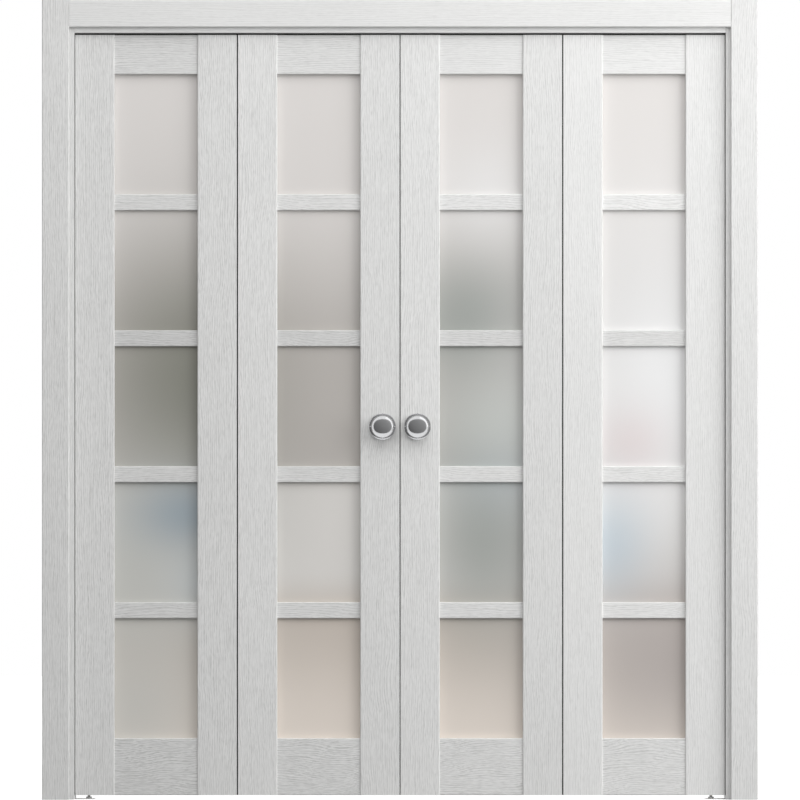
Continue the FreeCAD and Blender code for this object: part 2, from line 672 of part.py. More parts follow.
def right_rosette():
    """The round plate under a knob: a ring that slopes down to its edge in a slightly rounded bevel, with
    shallow flutes across the bevel, level and upright."""
    bore = KNOB_NECK_RADIUS + ROSETTE_BORE_CLEARANCE
    flat = ROSETTE_RADIUS - ROSETTE_BEVEL_WIDTH
    drop = ROSETTE_THICKNESS - ROSETTE_EDGE_THICKNESS
    outward = Vector(drop, -ROSETTE_BEVEL_WIDTH, 0).normalize()
    middle = Vector(
        (flat + ROSETTE_RADIUS) / 2, -(ROSETTE_THICKNESS + ROSETTE_EDGE_THICKNESS) / 2, 0
    )
    bevel_middle = (
        middle.x + outward.x * ROSETTE_BEVEL_CAMBER, middle.y + outward.y * ROSETTE_BEVEL_CAMBER
    )
    profile = [
        line((bore, 0), (ROSETTE_RADIUS, 0)),
        line((ROSETTE_RADIUS, 0), (ROSETTE_RADIUS, -ROSETTE_EDGE_THICKNESS)),
        arc((ROSETTE_RADIUS, -ROSETTE_EDGE_THICKNESS), bevel_middle, (flat, -ROSETTE_THICKNESS)),
        line((flat, -ROSETTE_THICKNESS), (bore, -ROSETTE_THICKNESS)),
        line((bore, -ROSETTE_THICKNESS), (bore, 0)),
    ]
    rosette = turned(profile)
    downhill = Vector(ROSETTE_BEVEL_WIDTH, drop, 0).normalize()
    flute_middle = middle + outward * (ROSETTE_FLUTE_RADIUS - ROSETTE_FLUTE_DEPTH)
    flute = Part.makeCylinder(
        ROSETTE_FLUTE_RADIUS,
        2 * ROSETTE_BEVEL_WIDTH,
        flute_middle - downhill * ROSETTE_BEVEL_WIDTH,
        downhill,
    )
    for i in range(ROSETTE_FLUTE_COUNT):
        turn = i * 360 / ROSETTE_FLUTE_COUNT
        rosette = rosette.cut(flute.rotated(Vector(0, 0, 0), Vector(0, 1, 0), turn))
    return rosette.translated(right_knob_place())


def right_knob():
    """A turned knob: a neck that flares to a head with a narrow band and a crowned face. Depths are
    measured from the leaf, and each curve runs smoothly into the next."""
    back_centre = KNOB_HEAD_RADIUS - KNOB_BACK_ROUND
    flare = back_centre - KNOB_NECK_RADIUS
    flare_end = KNOB_NECK_LENGTH + flare
    band_start = flare_end + KNOB_BACK_ROUND
    crown_centre = KNOB_PROJECTION - KNOB_CROWN_RADIUS
    front_centre = KNOB_HEAD_RADIUS - KNOB_FRONT_ROUND
    crown_angle = math.asin(front_centre / (KNOB_CROWN_RADIUS - KNOB_FRONT_ROUND))
    band_end = crown_centre + front_centre / math.tan(crown_angle)

    def on_arc(centre, radius, angle):
        """A point of the profile at an angle from the knob's axis."""
        return (centre[0] + radius * math.sin(angle), -(centre[1] + radius * math.cos(angle)))

    quarter = math.radians(90)
    flare_middle = on_arc((back_centre, KNOB_NECK_LENGTH), flare, -quarter / 2)
    back_middle = on_arc((back_centre, band_start), KNOB_BACK_ROUND, 1.5 * quarter)
    round_middle = on_arc(
        (front_centre, band_end), KNOB_FRONT_ROUND, (quarter + crown_angle) / 2
    )
    crown_edge = on_arc((0, crown_centre), KNOB_CROWN_RADIUS, crown_angle)
    crown_middle = on_arc((0, crown_centre), KNOB_CROWN_RADIUS, crown_angle / 2)
    profile = [
        line((0, 0), (KNOB_NECK_RADIUS, 0)),
        line((KNOB_NECK_RADIUS, 0), (KNOB_NECK_RADIUS, -KNOB_NECK_LENGTH)),
        arc((KNOB_NECK_RADIUS, -KNOB_NECK_LENGTH), flare_middle, (back_centre, -flare_end)),
        arc((back_centre, -flare_end), back_middle, (KNOB_HEAD_RADIUS, -band_start)),
        line((KNOB_HEAD_RADIUS, -band_start), (KNOB_HEAD_RADIUS, -band_end)),
        arc((KNOB_HEAD_RADIUS, -band_end), round_middle, crown_edge),
        arc(crown_edge, crown_middle, (0, -KNOB_PROJECTION)),
        line((0, -KNOB_PROJECTION), (0, 0)),
    ]
    return turned(profile).translated(right_knob_place())


def frame_nodes():
    jamb = right_jamb()
    nodes = {
        "left_jamb": mirrored(jamb),
        "right_jamb": jamb,
        "head_jamb": head_jamb(),
        "top_track": track(),
    }
    for name, front in (("front", True), ("back", False)):
        casing = side_casing(front)
        nodes[name + "_left_casing"] = mirrored(casing)
        nodes[name + "_right_casing"] = casing
        nodes[name + "_head_casing"] = head_casing(front)
    return nodes


def leaf_nodes(leaf):
    name = "leaf_%d_" % (leaf + 1)
    return {
        name + "left_stile": stile(leaf, "left"),
        name + "right_stile": stile(leaf, "right"),
        name + "top_rail": top_rail(leaf),
        name + "bottom_rail": rail(
            leaf, (LEAF_BOTTOM, LEAF_BOTTOM + BOTTOM_RAIL_HEIGHT), RAIL_STEP, False, True
        ),
        name + "cross_bars": cross_bars(leaf),
        name + "panes": panes(leaf),
    }


def hardware_nodes():
    pivot_x = pin_x(0)
    roller_x = pin_x(LEAVES_PER_PAIR - 1)
    bracket = right_bottom_bracket()
    rosette = right_rosette()
    knob = right_knob()
    bottoms = hinge_bottoms()
    return {
        "gap_seals": both_pairs(left_pair_seals()),
        "top_pivot_sockets": both_pairs([top_pivot_socket(pivot_x)]),
        "pivot_pins": both_pairs([top_pivot_pin(pivot_x), bottom_pivot_pin(pivot_x)]),
        "roller_pins": both_pairs([roller_pin(roller_x)]),
        "rollers": both_pairs([roller(roller_x)]),
        "bottom_pivot_brackets": both_pairs([bracket]),
        "hinge_outer_flaps": both_pairs([hinge_flap(b, -1) for b in bottoms]),
        "hinge_inner_flaps": both_pairs([hinge_flap(b, 1) for b in bottoms]),
        "hinge_pins": both_pairs([hinge_pin(b) for b in bottoms]),
        "knob_rosettes": both_pairs([rosette]),
        "left_knob": mirrored(knob),
        "right_knob": knob,
    }


def main():
    nodes = frame_nodes()
    for leaf in range(LEAF_COUNT):
        nodes.update(leaf_nodes(leaf))
    nodes.update(hardware_nodes())
    os.makedirs("parts", exist_ok=True)
    for name, shape in nodes.items():
        shape.exportStep(os.path.join("parts", name + ".step"))


main()
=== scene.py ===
import math

import bmesh
import bpy
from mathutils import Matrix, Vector


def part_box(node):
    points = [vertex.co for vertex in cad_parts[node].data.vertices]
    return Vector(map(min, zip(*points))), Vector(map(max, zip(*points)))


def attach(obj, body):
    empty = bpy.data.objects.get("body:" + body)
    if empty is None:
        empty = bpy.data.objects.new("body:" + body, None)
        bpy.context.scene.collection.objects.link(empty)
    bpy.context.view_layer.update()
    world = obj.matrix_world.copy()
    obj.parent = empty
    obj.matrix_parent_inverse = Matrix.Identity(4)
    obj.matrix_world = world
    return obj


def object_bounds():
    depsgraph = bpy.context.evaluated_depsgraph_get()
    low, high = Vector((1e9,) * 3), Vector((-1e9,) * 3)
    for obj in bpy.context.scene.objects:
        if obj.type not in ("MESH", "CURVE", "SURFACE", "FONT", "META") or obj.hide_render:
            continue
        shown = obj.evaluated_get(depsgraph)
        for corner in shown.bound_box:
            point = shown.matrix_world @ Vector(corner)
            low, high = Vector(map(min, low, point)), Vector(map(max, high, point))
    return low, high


# Dresses the folding door set: limed ash woodwork, satin glass, metal fittings, screws, studio and camera.
# Metres, in the frame of the solids: +X right, +Y from the front to the back, +Z up from the floor.

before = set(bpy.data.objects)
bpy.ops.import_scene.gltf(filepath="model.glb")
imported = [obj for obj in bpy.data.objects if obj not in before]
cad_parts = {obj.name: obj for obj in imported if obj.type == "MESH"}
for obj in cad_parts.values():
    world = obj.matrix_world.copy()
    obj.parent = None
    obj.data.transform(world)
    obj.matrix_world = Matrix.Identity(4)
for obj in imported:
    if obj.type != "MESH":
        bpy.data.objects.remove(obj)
cad_low, cad_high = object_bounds()

# Places worked out from the solids
leaf_low, leaf_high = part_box("leaf_1_left_stile")
flap_low, flap_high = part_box("hinge_outer_flaps")
bracket_low, bracket_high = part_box("bottom_pivot_brackets")
DOOR_TOP = cad_high.z
LEAF_FACE_Y = leaf_low.y
LEAF_BACK_Y = leaf_high.y

# Screws, whose holes are in the flaps and brackets
SCREW_HEAD_RADIUS = 0.0038
SCREW_HEAD_DEPTH = 0.0017
SCREW_DOME = 0.0003
SCREW_RECESS_LENGTH = 0.0042
SCREW_RECESS_WIDTH = 0.0009
SCREW_RECESS_DEPTH = 0.0009
SCREW_RECESS_TAPER = 0.8
SCREW_SIDES = 32
HINGE_HEIGHT = 0.076
HINGE_KNUCKLE_REACH = 0.0053
HINGE_FLAP_WIDTH = 0.027
HINGE_FLAP_THICKNESS = 0.0025
HINGE_COUNT = 3
FLAP_SCREW_COUNT = 3
FLAP_SCREW_END_DISTANCE = 0.013
FLAP_SCREW_STAGGER = 0.005
BRACKET_THICKNESS = 0.002
BRACKET_SCREW_DISTANCE = 0.018

# A screw head from its underside to its rim: share of the radius, and level over the face
SCREW_PROFILE = (
    (0.50, -SCREW_HEAD_DEPTH),
    (1.00, -SCREW_DOME),
    (0.97, 0.0),
    (0.80, SCREW_DOME),
)

# Picture and camera, far away because the photo's lines are nearly parallel
PICTURE_HEIGHT_M = 2.2413
CAMERA_DISTANCE = 20.0
SENSOR = 36.0
PICTURE_CENTRE_Z = 1.1192

# Light: large soft lamps high in front, at the right and behind, each with its place, size and power
LAMPS = (
    ("front_lamp", Vector((0.60, -4.90, 7.10)), 8.4, 336.0),
    ("right_lamp", Vector((4.75, -2.25, 2.60)), 4.8, 220.0),
    ("back_lamp", Vector((-1.50, 5.20, 3.80)), 4.0, 170.0),
)
LAMP_TARGET = Vector((0.0, 0.0, 1.1))
FILL_STRENGTH = 0.45
BACKGROUND_STRENGTH = 1.0

# Dark end of the studio, which only the polished metal mirrors
CARD_DISTANCE = 0.98
CARD_HALF_WIDTH = 1.39
CARD_HALF_HEIGHT = 0.89
CARD_CENTRE_Z = 1.09
CARD_CORNER_POWER = 2.6
CARD_SIDES = 64

# Its lower left and upper right corner: X plus Z there, and how bright it is
CARD_DARK_CORNER = (-0.6, 0.105)
CARD_PALE_CORNER = (3.0, 0.41)

# Dark arch over the object, which the rims of polished metal alone show
ARCH_RADIUS = 1.75
ARCH_START_ANGLE = 66.0
ARCH_CENTRE_Z = 1.045
ARCH_FROM = -25.0
ARCH_TO = 205.0
ARCH_STEPS = 48
ARCH_SHADE = 0.10

# Strip light round the card's upper right, as two ellipses about its centre and the angles between them
PANEL_INNER = (1.42, 1.12)
PANEL_OUTER = (1.95, 1.75)
PANEL_START = -5.0
PANEL_END = 75.0
PANEL_STEPS = 24
PANEL_STRENGTH = 1.4

# The floor is white to the camera and to mirrors, and a middle grey to the light that it throws back
FLOOR_RADIUS = 9.0
FLOOR_SIDES = 96
FLOOR_FADE_START = 3.0
FLOOR_SEEN_GLOW = 0.6


def node_object(name):
    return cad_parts[name]


class Nodes:
    """A short way to write a material's node tree."""

    def __init__(self, name):
        self.material = bpy.data.materials.new(name)
        self.material.use_nodes = True
        self.tree = self.material.node_tree
        self.shader = self.tree.nodes["Principled BSDF"]

    def add(self, kind, **settings):
        node = self.tree.nodes.new(kind)
        for key, value in settings.items():
            setattr(node, key, value)
        return node

    def link(self, source, target):
        self.tree.links.new(source, target)

    def put(self, target, value):
        """Links a socket, or writes a plain value."""
        if isinstance(value, bpy.types.NodeSocket):
            self.link(value, target)
        else:
            target.default_value = value

    def position(self):
        """The point on the object, in the frame of the solids."""
        return self.add("ShaderNodeTexCoord").outputs["Object"]

    def axes(self, vector):
        """The vector's sockets X, Y and Z."""
        node = self.add("ShaderNodeSeparateXYZ")
        self.link(vector, node.inputs[0])
        return node.outputs

    def math(self, operation, a, b=0.0):
        node = self.add("ShaderNodeMath", operation=operation)
        self.put(node.inputs[0], a)
        self.put(node.inputs[1], b)
        return node.outputs[0]

    def stretch(self, vector, scale, offset=(0.0, 0.0, 0.0)):
        node = self.add("ShaderNodeMapping")
        self.put(node.inputs["Vector"], vector)
        node.inputs["Scale"].default_value = scale
        node.inputs["Location"].default_value = offset
        return node.outputs["Vector"]

    def noise(self, vector, scale, detail=2.0, roughness=0.5):
        node = self.add("ShaderNodeTexNoise")
        self.put(node.inputs["Vector"], vector)
        node.inputs["Scale"].default_value = scale
        node.inputs["Detail"].default_value = detail
        node.inputs["Roughness"].default_value = roughness
        return node.outputs["Fac"]

    def remap(self, value, low, high, to_low=0.0, to_high=1.0, smooth=False):
        node = self.add("ShaderNodeMapRange")
        if smooth:
            node.interpolation_type = "SMOOTHSTEP"
        self.put(node.inputs["Value"], value)
        node.inputs["From Min"].default_value = low
        node.inputs["From Max"].default_value = high
        node.inputs["To Min"].default_value = to_low
        node.inputs["To Max"].default_value = to_high
        return node.outputs["Result"]

    def mix(self, factor, a, b, blend="MIX"):
        node = self.add("ShaderNodeMix", data_type="RGBA", blend_type=blend)
        self.put(node.inputs["Factor"], factor)
        self.put(node.inputs["A"], a)
        self.put(node.inputs["B"], b)
        return node.outputs["Result"]

    def bump(self, height, strength, distance):
        node = self.add("ShaderNodeBump")
        node.inputs["Strength"].default_value = strength
        node.inputs["Distance"].default_value = distance
        self.put(node.inputs["Height"], height)
        self.link(node.outputs["Normal"], self.shader.inputs["Normal"])


def tint(red, green, blue):
    """A colour written as it looks on a screen, from 0 to 255, for a shader."""

    def linear(value):
        value /= 255
        return value / 12.92 if value <= 0.04045 else ((value + 0.055) / 1.055) ** 2.4

    return (linear(red), linear(green), linear(blue), 1.0)


WHITE = tint(255, 255, 255)
FLOOR_SEEN = tint(228, 228, 228)
FLOOR_BOUNCE = tint(122, 122, 122)

# Nearly all of a noise lies in the first range, and most of it in the second
NOISE_RANGE = (0.3, 0.7)
NARROW_NOISE_RANGE = (0.35, 0.65)


# Wood

WOOD_PALE = tint(240, 240, 239)
WOOD_MIDDLE = tint(229, 229, 228)
WOOD_GREY = tint(213, 213, 212)
WOOD_DARK = tint(184, 184, 182)

# Growth rings: lines per metre, how far they lean through the board's depth, how unevenly they lie, the
# least and most of their strength along a board, and how far they swing about the middle tone
RING_REPEATS = 178.0
RING_LEAN = 0.6
RING_UNEVENNESS = 1.7
RING_STRENGTHS = (0.25, 1.5)
RING_SWING = 0.25

# Repeats per metre of each other layer of the grain, across the fibres and along them
UNEVEN = (70.0, 4.0)
FADES = (110.0, 10.0)
LINES = (480.0, 18.0)
DASHES = (700.0, 60.0)
FIBRES = (1500.0, 80.0)
PORES = (1400.0, 48.0)
CLOUDS = (6.0, 1.8)
DRIFT = (3.5, 1.4)
RIPPLE = (11.0, 6.0)
RIPPLE_SHARE = 0.35

# Each board's grain is taken from another place, which lies its seed times these metres away
SEED_SHIFT = (3.7, 1.9, 5.3)

# How strongly each layer darkens and lightens the wood
GRAIN_LAYERS = (("rings", 0.42, 0.44), ("lines", 0.36, 0.40), ("dashes", 0.32, 0.34))
GRAIN_MIDDLE = 0.50
GRAIN_DARKEST = 0.25
GRAIN_PALEST = 0.75
CLOUD_SHARE = 0.22
FIBRE_SHARE = 0.22
PORE_SHARE = 0.55

# Pores: where the noise makes one, and how they gather in the dark half of the rings
PORE_EDGE = (0.60, 0.70)
PORE_RINGS = (0.55, 0.35)
PORE_THINNEST = 0.25

WOOD_ROUGHNESS = (0.60, 0.48)
WOOD_BUMP = (0.18, 0.0003)
FIBRE_RELIEF = 0.3

# Tone and strength of grain of each stile from left to right, of the frame's upright boards, and of the top
# rail, the cross bars and the wavy bottom rail of each leaf. The tones are partly the boards' own and partly
# painted shade and light: darker towards the left and paler towards the right.
STILE_LOOKS = (
    (0.97, 0.98),
    (0.975, 0.95),
    (1.02, 0.90),
    (0.98, 0.85),
    (1.02, 0.80),
    (0.99, 0.75),
    (1.045, 0.55),
    (1.045, 0.55),
)
FRAME_LOOKS = {
    "front_left_casing": (0.965, 0.95),
    "front_right_casing": (0.97, 0.70),
    "back_left_casing": (0.97, 0.80),
    "back_right_casing": (0.97, 0.80),
    "left_jamb": (0.93, 0.80),
    "right_jamb": (0.97, 0.70),
}
RAIL_LOOKS = ((0.92, 0.95), (0.97, 0.80), (1.0, 0.50), (1.02, 0.50))
BAR_LOOKS = ((0.94, 0.95), (0.99, 0.95), (1.04, 0.90), (1.08, 0.85))
WAVY_LOOKS = ((0.92, 1.50), (0.97, 1.40), (1.0, 1.25), (1.02, 1.15))

# Strength of grain of the boards over the doorway
HEAD_CONTRAST = 0.36

# Tone of the cross bars over these heights
BAR_HEIGHT_TONES = ((0.0, 0.97), (0.70, 0.97), (1.08, 0.88), (1.46, 1.0))

# First seed of each kind of board
FRAME_SEED = 1
HEAD_SEED = 10
RAIL_SEED = 11
BAR_SEED = 15
WAVY_SEED = 19
STILE_SEED = 30

# How far the fibres of each kind of board stray sideways, and how much oftener than the rest some kinds turn
UPRIGHT_WANDER = 0.016
HEAD_WANDER = 0.008
RAIL_WANDER = 0.012
BAR_WANDER = 0.020
BAR_BENDS = 2.0
WAVY_WANDER = 0.030
WAVY_BENDS = 2.2


def limed_ash(name, grain, seed, wander, contrast, tone=1.0, bends=1.0, tones=()):
    """Pale limed ash whose fibres follow the axis grain.

    Wander is how far the fibres stray sideways, and bends how often they turn. Tone makes a board a little
    paler or darker, partly as boards of one set differ and partly as painted shade and light, and tones does
    so for boards over the heights given.
    """
    n = Nodes(name)
    along = "XYZ".index(grain)
    position = n.stretch(n.position(), (1, 1, 1), tuple(seed * step for step in SEED_SHIFT))

    def layer(vector, repeats, detail):
        scale = [repeats[0]] * 3
        scale[along] = repeats[1]
        return n.noise(n.stretch(vector, tuple(scale)), 1.0, detail)

    # All layers stray together, so that the lines follow one another round each bend
    drift = layer(position, [value * bends for value in DRIFT], 1.0)
    drift = n.remap(drift, 0.0, 1.0, -wander, wander)
    ripple = layer(position, RIPPLE, 1.0)
    ripple = n.remap(ripple, 0.0, 1.0, -wander * RIPPLE_SHARE, wander * RIPPLE_SHARE)
    shift = n.math("ADD", drift, ripple)
    move = n.add("ShaderNodeCombineXYZ")
    for i in range(3):
        if i != along:
            n.link(shift, move.inputs[i])
    bent = n.add("ShaderNodeVectorMath", operation="ADD")
    n.link(position, bent.inputs[0])
    n.link(move.outputs[0], bent.inputs[1])
    bent = bent.outputs[0]

    axes = n.axes(bent)
    across = n.math("ADD", axes[2 - along], n.math("MULTIPLY", axes[1], RING_LEAN))
    uneven = n.math("MULTIPLY", layer(bent, UNEVEN, 1.0), RING_UNEVENNESS)
    turn = n.math("ADD", n.math("MULTIPLY", across, RING_REPEATS), uneven)
    wave = n.math("SINE", n.math("MULTIPLY", turn, 2 * math.pi))
    fades = n.remap(layer(bent, FADES, 1.0), *NARROW_NOISE_RANGE, *RING_STRENGTHS)
    wave = n.math("MULTIPLY", wave, fades)
    layers = {
        "rings": n.math("ADD", n.math("MULTIPLY", wave, RING_SWING), GRAIN_MIDDLE),
        "lines": layer(bent, LINES, 1.0),
        "dashes": layer(bent, DASHES, 0.0),
    }
    fibres = layer(bent, FIBRES, 1.0)
    pores = n.remap(layer(bent, PORES, 0.0), *PORE_EDGE, smooth=True)
    pores = n.math("MULTIPLY", pores, n.remap(layers["rings"], *PORE_RINGS, PORE_THINNEST, 1.0))
    clouds = layer(position, CLOUDS, 2.0)

    colour = n.mix(n.remap(clouds, *NARROW_NOISE_RANGE, 0.0, CLOUD_SHARE), WOOD_MIDDLE, WOOD_GREY)
    for kind, dark, light in GRAIN_LAYERS:
        darker = n.remap(layers[kind], GRAIN_MIDDLE, GRAIN_DARKEST, 0.0, dark * contrast)
        paler = n.remap(layers[kind], GRAIN_MIDDLE, GRAIN_PALEST, 0.0, light * contrast)
        colour = n.mix(darker, colour, WOOD_DARK)
        colour = n.mix(paler, colour, WOOD_PALE)
    colour = n.mix(n.math("MULTIPLY", pores, PORE_SHARE * contrast), colour, WOOD_DARK)
    colour = n.mix(n.remap(fibres, *NOISE_RANGE, 0.0, FIBRE_SHARE), colour, WOOD_PALE)
    # Tone: partly the board's own and partly painted shade and light
    if tone != 1.0:
        colour = n.mix(1.0, colour, (tone, tone, tone, 1.0), "MULTIPLY")
    if tones:
        colour = n.mix(1.0, colour, tones_by_height(n, tones), "MULTIPLY")
    n.link(colour, n.shader.inputs["Base Color"])
    n.link(n.remap(layers["lines"], *NOISE_RANGE, *WOOD_ROUGHNESS), n.shader.inputs["Roughness"])
    relief = n.math("ADD", layers["lines"], n.math("MULTIPLY", fibres, FIBRE_RELIEF))
    relief = n.math("ADD", relief, layers["rings"])
    n.bump(n.math("SUBTRACT", relief, pores), *WOOD_BUMP)
    return n.material


def tones_by_height(n, tones):
    """A tone for each board of a node, by where it starts over the floor."""
    ramp = n.add("ShaderNodeValToRGB")
    ramp.color_ramp.interpolation = "CONSTANT"
    elements = ramp.color_ramp.elements
    elements.remove(elements[1])
    for level, tone in tones:
        element = elements[0] if level == 0.0 else elements.new(level / DOOR_TOP)
        element.color = (tone, tone, tone, 1.0)
    n.link(n.math("DIVIDE", n.axes(n.position())["Z"], DOOR_TOP), ramp.inputs["Fac"])
    return ramp.outputs["Color"]


# Glass

# Tints of the painted room in the etched glass, given one by one: a painted blur of the room that the glass
# reflects and lets through
SOFT_LINEN = tint(222, 218, 215)
SOFT_PALE = tint(224, 221, 217)
SOFT_GREIGE = tint(190, 185, 180)
SOFT_SAND = tint(205, 195, 185)
SOFT_CREAM = tint(230, 220, 210)
SOFT_OLIVE = tint(135, 135, 125)
SOFT_SAGE = tint(150, 155, 150)
SOFT_STONE = tint(200, 200, 195)
SOFT_MINT = tint(205, 215, 210)
SOFT_SLATE = tint(150, 165, 175)
SOFT_SKY = tint(200, 215, 225)
SOFT_WHITE = tint(240, 240, 240)
SOFT_BLUSH = tint(220, 190, 190)
SOFT_DUSK = tint(180, 172, 168)

# How the painted room blur in the glass changes with height over the floor
PAINTED_ROOM_HEIGHTS = (
    (0.20, SOFT_CREAM),
    (0.50, SOFT_SAND),
    (0.65, SOFT_PALE),
    (0.85, SOFT_PALE),
    (0.95, SOFT_GREIGE),
    (1.20, SOFT_GREIGE),
    (1.75, SOFT_LINEN),
)

# Soft shapes of the painted room blur in the glass: middle, half width and half height, tint and strength
PAINTED_ROOM_SHAPES = (
    # A tall olive shape in the first leaf, with a blue gleam and paler stone under it
    ((-0.60, 1.15), (0.25, 0.40), SOFT_OLIVE, 1.0),
    ((-0.75, 0.65), (0.30, 0.30), SOFT_STONE, 1.0),
    ((-0.60, 0.80), (0.15, 0.10), SOFT_SLATE, 0.8),
    ((-0.55, 0.60), (0.10, 0.10), SOFT_SKY, 0.3),
    ((-0.75, 0.25), (0.20, 0.20), SOFT_STONE, 0.7),
    # Sage shapes in the third leaf, white above and bluish between
    ((0.20, 1.35), (0.20, 0.20), SOFT_SAGE, 0.9),
    ((0.25, 0.75), (0.20, 0.30), SOFT_SAGE, 0.9),
    ((0.30, 1.05), (0.20, 0.15), SOFT_MINT, 0.4),
    ((0.30, 0.90), (0.15, 0.10), SOFT_SLATE, 0.3),
    ((0.25, 1.70), (0.15, 0.15), SOFT_WHITE, 0.5),
    # A tall white shape in the fourth leaf, with a blush, a pale blue gleam and dusk below
    ((0.75, 1.15), (0.35, 0.55), SOFT_WHITE, 1.0),
    ((0.65, 1.00), (0.10, 0.10), SOFT_BLUSH, 0.3),
    ((0.60, 0.70), (0.10, 0.15), SOFT_SKY, 0.8),
    ((0.75, 0.40), (0.30, 0.25), SOFT_DUSK, 0.9),
)

# How fine the etching is, how far it whitens the glass, roughness, refraction, strength and depth of bump
ETCH_REPEATS = 1400.0
ETCH_HAZE = 0.04
GLASS_ROUGHNESS = (0.40, 0.48)
GLASS_IOR = 1.5
GLASS_BUMP = (0.05, 0.0002)


def satin_glass():
    """Acid-etched glass: smooth to the eye, dull in its gloss, with a painted blur of the room that it
    reflects and lets through, in soft shapes of tint.
    """
    n = Nodes("satin_glass")
    position = n.position()
    axes = n.axes(position)
    across = axes["X"]
    height = axes["Z"]

    # Painted reflection and view through the glass: the room's blur by height, then in soft shapes
    ramp = n.add("ShaderNodeValToRGB")
    ramp.color_ramp.interpolation = "EASE"
    elements = ramp.color_ramp.elements
    elements.remove(elements[1])
    elements[0].position = PAINTED_ROOM_HEIGHTS[0][0] / DOOR_TOP
    elements[0].color = PAINTED_ROOM_HEIGHTS[0][1]
    for level, shade in PAINTED_ROOM_HEIGHTS[1:]:
        elements.new(level / DOOR_TOP).color = shade
    n.link(n.math("DIVIDE", height, DOOR_TOP), ramp.inputs["Fac"])

    colour = ramp.outputs["Color"]
    for (middle_x, middle_z), (half_width, half_height), shade, strength in PAINTED_ROOM_SHAPES:
        dx = n.math("DIVIDE", n.math("SUBTRACT", across, middle_x), half_width)
        dz = n.math("DIVIDE", n.math("SUBTRACT", height, middle_z), half_height)
        distance = n.math("ADD", n.math("MULTIPLY", dx, dx), n.math("MULTIPLY", dz, dz))
        fall = n.math("EXPONENT", n.math("MULTIPLY", distance, -1.0))
        colour = n.mix(n.math("MULTIPLY", fall, strength), colour, shade)
    etch = n.noise(position, ETCH_REPEATS, 1.0)
    colour = n.mix(n.remap(etch, *NOISE_RANGE, 0.0, ETCH_HAZE), colour, WHITE)
    n.link(colour, n.shader.inputs["Base Color"])
    n.link(n.remap(etch, *NOISE_RANGE, *GLASS_ROUGHNESS), n.shader.inputs["Roughness"])
    n.shader.inputs["IOR"].default_value = GLASS_IOR
    n.bump(etch, *GLASS_BUMP)
    return n.material


# Metals, nylon and rubber: the two tints between which each varies, roughness, strength and depth of bump

CHROME_TINTS = (tint(221, 222, 223), tint(214, 214, 216))
CHROME_ROUGHNESS = (0.10, 0.14)
SMUDGE_REPEATS = 90.0

STEEL_TINTS = (tint(150, 151, 152), tint(178, 179, 180))
STEEL_ROUGHNESS = (0.28, 0.40)
ALUMINIUM_TINTS = (tint(186, 187, 189), tint(206, 207, 208))
ALUMINIUM_ROUGHNESS = (0.24, 0.36)
BRUSH_REPEATS_ACROSS = 1500.0
BRUSH_REPEATS_ALONG = 25.0
BRUSH_BUMP = (0.12, 0.0002)

NYLON_TINTS = (tint(222, 221, 216), tint(212, 211, 206))
NYLON_GRAIN_REPEATS = 900.0
NYLON_ROUGHNESS = 0.5
NYLON_SUBSURFACE = 0.1
NYLON_BUMP = (0.05, 0.0002)

COAT_TINTS = (tint(228, 228, 226), tint(218, 218, 216))
COAT_PEEL_REPEATS = 600.0
COAT_ROUGHNESS = (0.30, 0.40)
COAT_BUMP = (0.06, 0.0003)

RUBBER_TINTS = (tint(30, 30, 30), tint(58, 57, 55))
RUBBER_DUST_REPEATS = 1200.0
RUBBER_DUST_DETAIL = 3.0
RUBBER_DUST_HARSHNESS = 0.6
RUBBER_DUST_RANGE = (0.45, 0.75)
RUBBER_ROUGHNESS = (0.72, 0.58)
RUBBER_BUMP = (0.15, 0.0002)


def polished_chrome():
    n = Nodes("polished_chrome")
    smudge = n.noise(n.position(), SMUDGE_REPEATS)
    n.link(n.mix(smudge, *CHROME_TINTS), n.shader.inputs["Base Color"])
    n.shader.inputs["Metallic"].default_value = 1.0
    n.link(n.remap(smudge, *NOISE_RANGE, *CHROME_ROUGHNESS), n.shader.inputs["Roughness"])
    return n.material


def brushed_metal(name, tints, brush, roughness):
    """Rolled metal with fine lines along the axis brush."""
    n = Nodes(name)
    scale = [BRUSH_REPEATS_ACROSS] * 3
    scale["XYZ".index(brush)] = BRUSH_REPEATS_ALONG
    lines = n.noise(n.stretch(n.position(), tuple(scale)), 1.0)
    n.link(n.mix(lines, *tints), n.shader.inputs["Base Color"])
    n.shader.inputs["Metallic"].default_value = 1.0
    n.link(n.remap(lines, *NOISE_RANGE, *roughness), n.shader.inputs["Roughness"])
    n.bump(lines, *BRUSH_BUMP)
    return n.material


def moulded_nylon():
    n = Nodes("moulded_nylon")
    grain = n.noise(n.position(), NYLON_GRAIN_REPEATS)
    n.link(n.mix(grain, *NYLON_TINTS), n.shader.inputs["Base Color"])
    n.shader.inputs["Roughness"].default_value = NYLON_ROUGHNESS
    n.shader.inputs["Subsurface Weight"].default_value = NYLON_SUBSURFACE
    n.bump(grain, *NYLON_BUMP)
    return n.material


def coated_steel():
    """Pressed steel with a white baked coat, a little uneven as such coats are."""
    n = Nodes("coated_steel")
    peel = n.noise(n.position(), COAT_PEEL_REPEATS, 1.0)
    n.link(n.mix(peel, *COAT_TINTS), n.shader.inputs["Base Color"])
    n.link(n.remap(peel, *NOISE_RANGE, *COAT_ROUGHNESS), n.shader.inputs["Roughness"])
    n.bump(peel, *COAT_BUMP)
    return n.material


